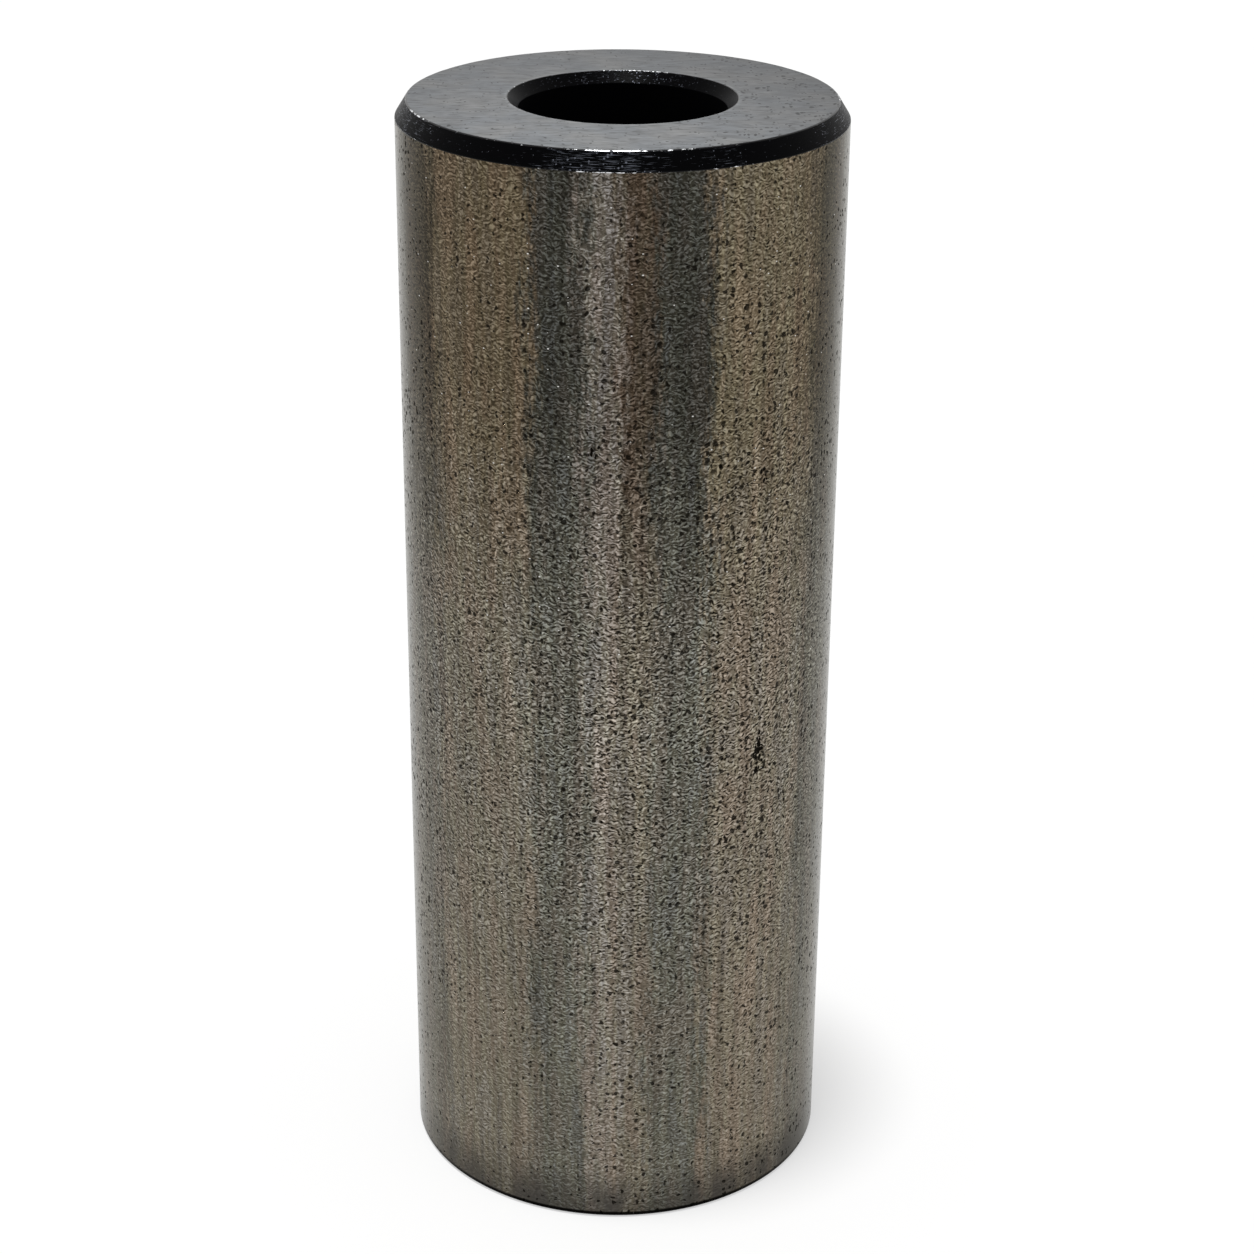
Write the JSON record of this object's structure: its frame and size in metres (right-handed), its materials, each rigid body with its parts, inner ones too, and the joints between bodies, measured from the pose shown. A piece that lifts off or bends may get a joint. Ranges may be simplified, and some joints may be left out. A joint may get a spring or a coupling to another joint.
{
  "type": "bushing",
  "caption": "Plain cylindrical hardened steel bushing with a through bore for a pin, chamfered bore mouths and a lead-in chamfer for pressing it into a housing.",
  "frame": {"origin": "centre of the foot's end face, on the axis", "axes": "+Z along the bore axis, up from the foot to the end with the lead-in chamfer"},
  "size_m": [0.05, 0.05, 0.13],
  "materials": {
    "hardened_steel": "ground outside and ends, chamfers and bore left black from heat treatment"
  },
  "bodies": {
    "root": {"bushing": "hardened_steel"}
  },
  "joints": []
}
